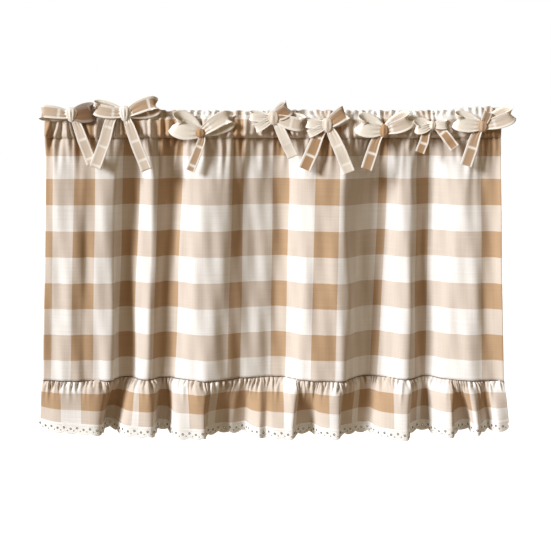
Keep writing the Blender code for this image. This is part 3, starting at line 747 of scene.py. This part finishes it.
# Place along the scallop, drop below the hem and radius of each eyelet
laceHoles = ((0.50, 0.0105, 0.0022), (0.0, 0.0084, 0.0022), (0.25, 0.0142, 0.0013), (0.75, 0.0142, 0.0013))


# Hem points with the outward and downward directions of the lace there.
def laceFrame(along):
    grid = ruffleAt(along, np.array([0.9, 1.0]))
    hem = grid[:, 1]
    down = unit(grid[:, 1] - grid[:, 0])
    down = unit(down * lace["flare"] + np.array([0.0, 0.0, -1.0]) * (1 - lace["flare"]))
    return hem, down, unit(np.cross(down, np.gradient(hem, axis=0)))


def makeLace():
    count = lace["scallops"] * lace["perScallop"] + 1
    along = np.linspace(0, hemLength[-1], count)
    pitch = hemLength[-1] / lace["scallops"]
    hem, down, out = laceFrame(along)
    phase = (np.arange(count) % lace["perScallop"]) / lace["perScallop"]
    edge = lace["drop"] + lace["scallop"] * np.sin(np.pi * phase) ** lace["roundness"]
    edge = edge + lace["picot"] * np.abs(np.sin(np.pi * phase * lace["picots"]))
    share = np.linspace(0, 1, lace["rows"])
    a = np.tile(along[:, None], (1, lace["rows"]))
    b = -lace["overlap"] + (edge[:, None] + lace["overlap"]) * share[None, :]
    inside = np.zeros(a.shape, bool)
    high, place, wide = lace["edgeCord"]
    relief = high * np.exp(-(((b - edge[:, None] + place) / wide) ** 2))
    high, place, wide = lace["headCord"]
    relief = relief + high * np.exp(-(((b - place) / wide) ** 2))
    high, place, wide, petals = lace["petals"]
    cell = np.floor(a / pitch)
    for shift, level, radius in laceHoles:
        for step in (-1, 0, 1):
            ca = (cell + step + shift) * pitch
            da, db = a - ca, b - level
            far = np.maximum(np.hypot(da, db), 1e-6)
            snap = far < radius + lace["rimWide"]
            a = np.where(snap, ca + da / far * radius, a)
            b = np.where(snap, level + db / far * radius, b)
            inside |= snap
            ring = np.exp(-(((far - radius * place) / (radius * wide)) ** 2))
            relief = relief + high * ring * np.cos(petals * np.arctan2(db, da)) ** 2
    low = np.clip(np.searchsorted(along, a) - 1, 0, count - 2)
    t = ((a - along[low]) / (along[low + 1] - along[low]))[..., None]
    start, hang, face = (values[low] * (1 - t) + values[low + 1] * t for values in (hem, down, out))
    grid = start + hang * b[..., None] + face * (relief + lace["offHem"])[..., None]
    corners = inside[:-1, :-1] & inside[1:, :-1] & inside[:-1, 1:] & inside[1:, 1:]
    layers = {"weave": np.stack([a, -b], axis=2)}
    body = closedSheet(grid, lace["cloth"], layers, ~corners)
    return newPiece("laceTrim", body, laceMaterial)


laceTrim = makeLace()
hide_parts("lace_trim")
print("lace made")

# Bows: knot, loops and free ends, in marks as the part has them. A loop has its tip, width, how far its
# back stands off its front, its tan share, its share of the deep colour that paints its shade where it lies in
# shadow, and where its pale bar lies along it; a free end has its start, elbow, end, width, lean, tan share and
# where its pale bar lies
bows = {
    "bow_1": {
        "knot": (72.5, 115), "size": (11.5, 15), "flare": 0.45, "tone": 0.0,
        "loops": ((42.5, 112.5, 13, -3, 0.62, 0.0, 0.34), (94, 112, 17, 3, 1.0, 0.80, 0.9)),
        "tails": (((77, 122), (83.5, 140), (92, 163.5), 10.5, 1, 0.42, 0.46),),
    },
    "bow_2": {
        "knot": (126, 114), "size": (11.5, 16), "flare": 0.4, "tone": 0.0,
        "loops": ((96.5, 107.5, 13, 4, 0.55, 0.0, 0.32), (157, 105.5, 14, -7, 0.85, 0.0, 0.12)),
        "tails": (
            ((113.5, 113.5), (105.5, 140), (95, 167), 11.5, 5.5, 0.36, 0.35),
            ((128.5, 121), (137, 145), (146.5, 169.5), 11, 2, 0.42, 0.44),
        ),
    },
    "bow_3": {
        "knot": (200.6, 132.8), "size": (10, 9.5), "flare": 0.0, "tone": 1.0,
        "loops": ((176.5, 122, 19, 9, 0.03, 0.0, 0.95), (230, 119, 14, -7, 0.22, 0.0, 0.9)),
        "tails": (((203, 137), (197, 153), (190, 170), 9, 2, 0.88, 0.32),),
    },
    "bow_4": {
        "knot": (273.5, 118), "size": (12, 14.5), "flare": 0.0, "tone": 0.25,
        "loops": (
            (250.5, 115.5, 8, 3, 0.10, 0.0, 0.9), (255, 128, 9, 2, 0.08, 0.0, 0.9),
            (288, 107.5, 14, 3, 1.0, 0.30, 0.9), (302.5, 123, 14, 4, 0.35, 0.0, 0.55),
        ),
        "tails": (((277, 123), (285, 140), (293, 156.5), 10.5, 2, 0.12, 0.15),),
    },
    "bow_5": {
        "knot": (327, 125), "size": (11.5, 15), "flare": 0.0, "tone": 0.2,
        "loops": (
            (306.5, 122.5, 9, 2, 0.05, 0.0, 0.95), (308, 134, 7.5, 1, 0.10, 0.0, 0.95),
            (345.5, 113, 15, -2, 0.95, 0.12, 0.95),
        ),
        "tails": (
            ((319, 134), (312.5, 150), (304.5, 168.5), 13, 1, 1.0, 0.24),
            ((331, 131), (340.5, 151), (349.5, 172), 12, 4.5, 0.22, 0.78),
        ),
    },
    "bow_6": {
        "knot": (383.5, 130.5), "size": (9, 13), "flare": 0.0, "tone": 1.0,
        "loops": ((360, 123, 16, 8, 0.04, 0.0, 0.95), (408, 118.5, 14, 6, 0.42, 0.0, 0.95)),
        "tails": (((376.5, 138), (371.5, 153), (366.5, 168.5), 11.5, 2, 0.94, 0.55),),
    },
    "bow_7": {
        "knot": (431.5, 125), "size": (7, 9), "flare": 0.0, "tone": 0.1,
        "loops": ((415, 126, 8.5, 8, 0.10, 0.0, 0.95), (446, 124, 8, 2, 0.02, 0.0, 0.95)),
        "tails": (
            ((426, 131.5), (423.5, 141.5), (419.5, 152), 9.5, 1, 1.0, 0.60),
            ((439, 128.5), (447.5, 138.5), (454.5, 147.5), 10, 2, 1.0, 0.95),
        ),
    },
    "bow_8": {
        "knot": (481.5, 126), "size": (10.5, 12.5), "flare": 0.0, "tone": 0.85,
        "loops": (
            (455.5, 119.5, 15, 6, 0.05, 0.0, 0.95), (510, 113.5, 14, 6, 0.35, 0.0, 0.95),
            (487, 112, 8, 0, 0.9, 0.35, 0.95),
        ),
        "tails": (((475.5, 134), (471, 149), (466, 165), 12, 2, 0.88, 0.50),),
    },
}
tie = {
    "cloth": 0.0008, "along": 46, "loopAlong": 64, "acrossCount": 15, "halfWide": 0.0105,
    "loopCup": 0.05, "endCup": 0.035, "crease": 0.0009, "creases": 3.0, "middle": 0.0098,
    "endAhead": 0.0010, "elbowLean": 0.0006, "endLean": 0.001, "elbowOut": 0.0012, "endOut": 0.0008,
    "wrap": 0.035,  # the knot's own ribbon
}
# Stations of a loop from its knot to its tip and back: share of the reach, mm out, width, pinch and lift
loopProfile = (
    (0.03, 0.8, 0.55, 1.0, 0.0), (0.22, 3.4, 0.74, 0.7, -0.35), (0.45, 4.9, 0.92, 0.3, -0.75),
    (0.70, 5.2, 0.99, 0.1, -1.0), (0.90, 4.2, 1.0, 0.0, -0.9), (0.985, 1.4, 1.0, 0.0, -0.3),
    (0.985, -0.8, 1.0, 0.0, 0.3), (0.90, -2.8, 1.0, 0.0, 0.9), (0.70, -3.4, 0.99, 0.1, 1.0),
    (0.45, -3.2, 0.92, 0.3, 0.75), (0.22, -2.2, 0.74, 0.7, 0.35), (0.03, -0.8, 0.55, 1.0, 0.0),
)
knot = {
    "around": 40, "up": 18, "deep": 0.0118, "square": 2.6, "ends": 0.1,
    "plain": (7, 0.10, 0.6),  # creases, their depth and how far the tan reaches round
    "flared": (11, 0.17, 1.0), "creaseStart": 0.6, "creaseReach": 1.3, "checkStart": 0.016,
}


# A mark on the photograph as a point that lies near in front of the rod.
def spot(markX, markY, near):
    return np.array([across(markX, marks["atTop"], near), -near, -(markY - marks["topRow"]) * marks["down"]])


# Positions and widths read evenly along a smooth curve through stations.
def smoothPath(stations, count):
    stations = np.array(stations, float)
    steps = np.linalg.norm(np.diff(stations[:, :3], axis=0), axis=1)
    knots = np.concatenate([[0.0], np.cumsum(np.maximum(steps, 1e-5))])
    at = np.linspace(0, knots[-1], count)
    return np.stack([curveThrough(knots, stations[:, k], at) for k in range(stations.shape[1])], axis=1), at


# A ribbon along stations of x, y, z, width and pinch; its width lies along wide.
def ribbonBody(stations, wide, cup, tone, bar, count):
    path, at = smoothPath(stations, count)
    tangent = unit(np.gradient(path[:, :3], axis=0))
    wide = unit(wide - tangent * (tangent @ wide)[:, None])
    face = np.cross(tangent, wide)
    s = np.linspace(-1, 1, tie["acrossCount"])
    bend = cup * (1 - s[None, :] ** 2) * path[:, 3:4]
    bend = bend + tie["crease"] * path[:, 4:5] * np.cos(tie["creases"] * np.pi * s[None, :])
    grid = path[:, None, :3] + wide[:, None] * (s[None, :] * path[:, 3:4] / 2)[..., None]
    grid = grid + face[:, None] * bend[..., None]
    layers = {
        "check": np.stack(np.broadcast_arrays(s[None, :], (at - bar)[:, None]), axis=2),
        "weave": np.stack(np.broadcast_arrays(s[None, :] * tie["halfWide"], at[:, None]), axis=2),
        "tone": np.broadcast_to(np.array(tone, float), (*grid.shape[:2], 2)),
    }
    return closedSheet(grid, tie["cloth"], layers), at[-1]


# The tie's end drawn tight over the crossing: a rounded band with upright creases.
def knotBody(centre, wide, tall, tone, flare):
    around, up = knot["around"], knot["up"]
    angle = np.linspace(0, 2 * np.pi, around + 1)
    rise = np.linspace(-1, 1, up)
    belly = (1 - np.abs(rise) ** knot["square"]) ** 0.5 * (1 - knot["ends"]) + knot["ends"]
    belly = belly * (1 + flare * rise)
    # a flared knot is the cloth's own pleats drawn together, deeper and all pale
    folds, deepest, plain = knot["plain"] if flare == 0 else knot["flared"]
    fade = np.cos(rise * knot["creaseReach"])[:, None] ** 2
    creases = 1 + deepest * np.cos(angle * folds + knot["creaseStart"]) * fade
    x = centre[0] + wide / 2 * belly[:, None] * np.cos(angle)[None, :] * creases
    y = centre[1] - knot["deep"] / 2 * belly[:, None] * np.sin(angle)[None, :] * creases
    z = centre[2] + tall / 2 * rise[:, None] + np.zeros_like(x)
    points = np.stack([x[:, :-1], y[:, :-1], z[:, :-1]], axis=2).reshape(-1, 3)
    quads = []
    for i in range(up - 1):
        for j in range(around):
            k = (j + 1) % around
            quads.append((i * around + j, i * around + k, (i + 1) * around + k, (i + 1) * around + j))
    for row, turned in ((0, True), (up - 1, False)):
        ring = [row * around + j for j in range(around)]
        half = around // 2
        for j in range(half - 1):
            face = (ring[j], ring[j + 1], ring[around - 2 - j], ring[around - 1 - j])
            quads.append(face[::-1] if turned else face)
    spread = np.tile(np.where(plain < 1, np.cos(angle[:-1]) * plain, 1.0), up)
    run = np.repeat(rise * tall / 2, around)
    layers = {
        "check": np.stack([spread, run + knot["checkStart"]], axis=1),
        "weave": np.stack([np.tile(angle[:-1] * wide / 2, up), run], axis=1),
        "tone": np.tile([[tone, 0.0]], (len(points), 1)),
    }
    return {"points": points, "quads": np.array(quads), "layers": layers}


def makeBow(name, bow):
    middle = tie["middle"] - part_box(name)[1][1]
    centre = spot(*bow["knot"], middle)
    wide, tall = (size * marks["atTop"] for size in bow["size"])
    bodies = [knotBody(centre, wide, tall, bow["tone"], bow["flare"])]
    total = 0.0
    forward = np.array([0.0, -1.0, 0.0])
    for tipX, tipY, width, turn, tan, shadeShare, bar in bow["loops"]:
        tip = spot(tipX, tipY, middle)
        run = tip - centre
        side = np.cross(run, forward)
        side /= np.linalg.norm(side)
        upward = np.sign(side[2]) * side
        shift = turn * marks["atTop"] * 0.5
        full = width * marks["atTop"]
        stations = []
        for share, out, grow, pinch, lift in loopProfile:
            at = centre + run * share + forward * out / 1000 + upward * shift * lift
            stations.append((*at, full * grow, pinch))
        reach = float(np.linalg.norm(run))
        body, long = ribbonBody(stations, side, tie["loopCup"], (tan, shadeShare), bar * reach, tie["loopAlong"])
        bodies.append(body)
        total += long
    for n, (first, elbow, last, width, lean, tan, bar) in enumerate(bow["tails"]):
        ahead = middle + tie["endAhead"] * (n + 1)
        a = spot(*first, ahead)
        b = spot(*elbow, ahead + lean * tie["elbowLean"])
        c = spot(*last, ahead + lean * tie["endLean"])
        run = c - a
        side = np.cross(run, forward)
        full = width * marks["atTop"]
        stations = (
            (*(centre + (a - centre) * 0.15), full * 0.45, 1.0),
            (*(centre + (a - centre) * 0.65), full * 0.62, 0.8),
            (*(a + (b - a) * 0.22), full * 0.86, 0.3),
            (*(b + forward * tie["elbowOut"]), full, 0.0),
            (*(b + (c - b) * 0.55), full, 0.0),
            (*(c + forward * tie["endOut"]), full, 0.0),
        )
        reach = float(np.linalg.norm(c - centre))
        body, long = ribbonBody(stations, side, tie["endCup"], (tan, 0.0), bar * reach, tie["along"])
        bodies.append(body)
        total += long
    piece = newPiece("tied_" + name, joined(bodies), tieMaterial)
    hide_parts(name)
    return piece, total + tie["wrap"]


ties = {name: makeBow(name, bow) for name, bow in bows.items()}
print("bows made")


# Stitches and eyelet rims, set along paths by Geometry Nodes
# An empty geometry tree with a geometry input and named size inputs.
def newTree(name, sizes):
    tree = bpy.data.node_groups.new(name, "GeometryNodeTree")
    tree.interface.new_socket(name="Geometry", in_out="INPUT", socket_type="NodeSocketGeometry")
    for size in sizes:
        tree.interface.new_socket(name=size, in_out="INPUT", socket_type="NodeSocketFloat")
    tree.interface.new_socket(name="Geometry", in_out="OUTPUT", socket_type="NodeSocketGeometry")
    given = tree.nodes.new("NodeGroupInput")
    result = tree.nodes.new("NodeGroupOutput")
    return tree, given, result


def finishTree(tree, instances, material, result):
    real = addNode(tree, "GeometryNodeRealizeInstances", i0=instances)
    dressed = addNode(tree, "GeometryNodeSetMaterial", Geometry=(real, 0), Material=material)
    tree.links.new(dressed.outputs[0], result.inputs[0])


# Stitches: rounded dashes of thread along a path.
def stitchTree(name, material):
    tree, given, result = newTree(name, ("Spacing", "Stitch", "Thread"))
    path = addNode(tree, "GeometryNodeMeshToCurve", Mesh=(given, "Geometry"))
    length = (given, "Spacing")
    spots = addNode(tree, "GeometryNodeCurveToPoints", {"mode": "LENGTH"}, Curve=(path, 0), Length=length)
    dash = addNode(tree, "GeometryNodeMeshUVSphere", Segments=6, Rings=4, Radius=0.5)
    size = addNode(tree, "ShaderNodeCombineXYZ", X=(given, "Thread"), Y=(given, "Thread"), Z=(given, "Stitch"))
    laid = addNode(
        tree, "GeometryNodeInstanceOnPoints", Points=(spots, 0), Instance=(dash, 0),
        Rotation=(spots, "Rotation"), Scale=(size, 0),
    )
    finishTree(tree, (laid, 0), material, result)
    return tree


# Buttonholed eyelet rims: rings of thread, turned to face out of the lace.
def rimTree(name, material):
    tree, given, result = newTree(name, ("Thread",))
    facing = addNode(tree, "GeometryNodeInputNamedAttribute", {"data_type": "FLOAT_VECTOR"}, Name="facing")
    radius = addNode(tree, "GeometryNodeInputNamedAttribute", {"data_type": "FLOAT"}, Name="radius")
    circle = addNode(tree, "GeometryNodeCurvePrimitiveCircle", Resolution=12, Radius=1.0)
    section = addNode(tree, "GeometryNodeCurvePrimitiveCircle", Resolution=5, Radius=(given, "Thread"))
    ring = addNode(tree, "GeometryNodeCurveToMesh", Curve=(circle, 0), Profile_Curve=(section, 0))
    turned = addNode(tree, "FunctionNodeAlignRotationToVector", {"axis": "Z"}, Vector=(facing, 0))
    size = addNode(tree, "ShaderNodeCombineXYZ", X=(radius, 0), Y=(radius, 0), Z=(radius, 0))
    laid = addNode(
        tree, "GeometryNodeInstanceOnPoints", Points=(given, "Geometry"), Instance=(ring, 0),
        Rotation=(turned, 0), Scale=(size, 0),
    )
    finishTree(tree, (laid, 0), material, result)
    return tree


# Runs a tree on a bare path or set of points and keeps the result as a plain mesh.
def madeByNodes(name, points, edges, tree, values, attributes=None):
    mesh = bpy.data.meshes.new(name + "_path")
    mesh.from_pydata([tuple(map(float, p)) for p in points], edges, [])
    for key, data in (attributes or {}).items():
        data = np.asarray(data, np.float32)
        isVector = data.ndim == 2
        attribute = mesh.attributes.new(key, "FLOAT_VECTOR" if isVector else "FLOAT", "POINT")
        attribute.data.foreach_set("vector" if isVector else "value", data.ravel())
    guide = bpy.data.objects.new(name + "_path", mesh)
    bpy.context.scene.collection.objects.link(guide)
    modifier = guide.modifiers.new("build", "NODES")
    modifier.node_group = tree
    for item in tree.interface.items_tree:
        if item.in_out == "INPUT" and item.name in values:
            modifier[item.identifier] = values[item.name]
    bpy.context.view_layer.update()
    graph = bpy.context.evaluated_depsgraph_get()
    made = bpy.data.meshes.new_from_object(guide.evaluated_get(graph))
    bpy.data.objects.remove(guide)
    made.name = name
    made.polygons.foreach_set("use_smooth", np.ones(len(made.polygons), bool))
    piece = bpy.data.objects.new(name, made)
    bpy.context.scene.collection.objects.link(piece)
    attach(piece, "root")
    return piece


def chain(points):
    return [(i, i + 1) for i in range(len(points) - 1)]


# A path on the front face of a grid, a little proud of it.
def frontOf(grid, row, lift):
    normal = gridNormals(grid)
    return grid[:, row] + normal[:, row] * lift


stitches = {
    "pocket": {"row": 1, "lift": 0.0006, "Spacing": 0.0036, "Stitch": 0.0026, "Thread": 0.0007},
    "seam": {"row": -1, "lift": 0.0009, "Spacing": 0.0026, "Stitch": 0.0036, "Thread": 0.0014},
    "lace": {"lift": 0.0013, "Spacing": 0.0040, "Stitch": 0.0024, "Thread": 0.0010, "drop": 0.0036},
}


# One line of stitches along a path.
def stitched(key, path, material):
    tree = stitchTree(key + "StitchRun", material)
    return madeByNodes(key + "Stitches", path, chain(path), tree, stitches[key])


pocketPath = frontOf(panelGrid, stitches["pocket"]["row"], stitches["pocket"]["lift"])
pocketStitches = stitched("pocket", pocketPath, tanThread)
# The seam's stitches are heavy and dark: real stitching, with painted shade for the shadow line under the
# panel's foot
seamPath = frontOf(panelGrid, stitches["seam"]["row"], stitches["seam"]["lift"])
seamStitches = stitched("seam", seamPath, seamShadeThread)

hemAlong = np.linspace(0, hemLength[-1], fineSteps["lace"])
hemSpots, hemDown, hemOut = laceFrame(hemAlong)
lacePath = hemSpots + hemDown * stitches["lace"]["drop"] + hemOut * stitches["lace"]["lift"]
laceStitches = stitched("lace", lacePath, whiteThread)

# Thick rims set inside the holes, so that their dark thread covers most of each hole: painted shade for the
# holes' shadow
rims = {"Thread": 0.55, "inset": 0.72, "lift": 0.0006}
pitch = hemLength[-1] / lace["scallops"]
rimAlong, rimDrop, rimRadius = [], [], []
for k in range(lace["scallops"]):
    for shift, drop, radius in laceHoles:
        rimAlong.append((k + shift) * pitch)
        rimDrop.append(drop)
        rimRadius.append(radius * rims["inset"])
order = np.argsort(rimAlong)
rimAlong, rimDrop, rimRadius = (np.array(values)[order] for values in (rimAlong, rimDrop, rimRadius))
rimSpots, rimDown, rimOut = (
    np.stack([np.interp(rimAlong, hemAlong, values[:, k]) for k in range(3)], axis=1)
    for values in (hemSpots, hemDown, hemOut)
)
rimPoints = rimSpots + rimDown * rimDrop[:, None] + rimOut * rims["lift"]
eyeletRims = madeByNodes(
    "eyeletRims", rimPoints, [], rimTree("eyeletRimRing", eyeletShadeThread), rims,
    {"facing": rimOut, "radius": rimRadius},
)
print("stitches and eyelets made")


# Floor, light and camera
studio = {"size": 40.0, "level": -2.0, "paint": "#F4F3F0", "roughness": 0.9, "glow": 0.6}
white = (1.0, 1.0, 1.0, 1.0)


# A plain pale matt studio floor, far enough below that the hung curtain throws no shadow on it in view.
def makeFloor():
    size, level = studio["size"], studio["level"]
    mesh = bpy.data.meshes.new("studioFloor")
    corners = [(-size, -size, level), (size, -size, level), (size, size, level), (-size, size, level)]
    mesh.from_pydata(corners, [], [(0, 1, 2, 3)])
    material, tree, shader = newMaterial("paleStudioPaint", studio["roughness"])
    shader.inputs["Base Color"].default_value = linear(studio["paint"])
    shader.inputs["Emission Color"].default_value = white
    shader.inputs["Emission Strength"].default_value = studio["glow"]
    mesh.materials.append(material)
    floor = bpy.data.objects.new("studioFloor", mesh)
    bpy.context.scene.collection.objects.link(floor)
    floor.visible_diffuse = False  # the bright floor is seen, but lights nothing


lighting = {
    "keyStrength": 4.8,
    "keyColour": "#F8FAFF",
    "keyAngle": 20.0, "keyFrom": (-0.78, -0.50, 0.36),
    "fillColour": "#EFCFA4",
    "fillStrength": 0.31,
}


def makeLights():
    sun = bpy.data.lights.new("softKey", "SUN")
    sun.energy = lighting["keyStrength"]
    sun.color = linear(lighting["keyColour"])[:3]
    sun.angle = math.radians(lighting["keyAngle"])
    lamp = bpy.data.objects.new("softKey", sun)
    lamp.rotation_euler = Vector(lighting["keyFrom"]).to_track_quat("Z", "Y").to_euler()
    bpy.context.scene.collection.objects.link(lamp)
    world = bpy.data.worlds.new("studio")
    bpy.context.scene.world = world
    world.use_nodes = True
    tree = world.node_tree
    tree.nodes.clear()
    path = addNode(tree, "ShaderNodeLightPath")
    colour = linear(lighting["fillColour"])
    fill = addNode(tree, "ShaderNodeBackground", Color=colour, Strength=lighting["fillStrength"])
    seen = addNode(tree, "ShaderNodeBackground", Color=white, Strength=1.0)
    mix = addNode(tree, "ShaderNodeMixShader", i0=(path, "Is Camera Ray"), i1=(fill, 0), i2=(seen, 0))
    output = tree.nodes.new("ShaderNodeOutputWorld")
    tree.links.new(mix.outputs[0], output.inputs[0])


def makeCamera():
    data = bpy.data.cameras.new("photoCamera")
    data.sensor_width = 36.0
    data.lens = view["focalPixels"] * data.sensor_width / view["imagePixels"]
    data.shift_y = -(view["imagePixels"] / 2 - view["centreRow"]) / view["imagePixels"]
    camera = bpy.data.objects.new("photoCamera", data)
    camera.location = (0.0, -view["back"], view["height"])
    camera.rotation_euler = (math.radians(90 - view["tipDown"]), 0.0, 0.0)
    bpy.context.scene.collection.objects.link(camera)
    bpy.context.scene.camera = camera


makeFloor()
makeLights()
makeCamera()
bpy.context.scene.view_settings.view_transform = "Standard"
print("floor, lights and camera made")

bpy.context.view_layer.update()
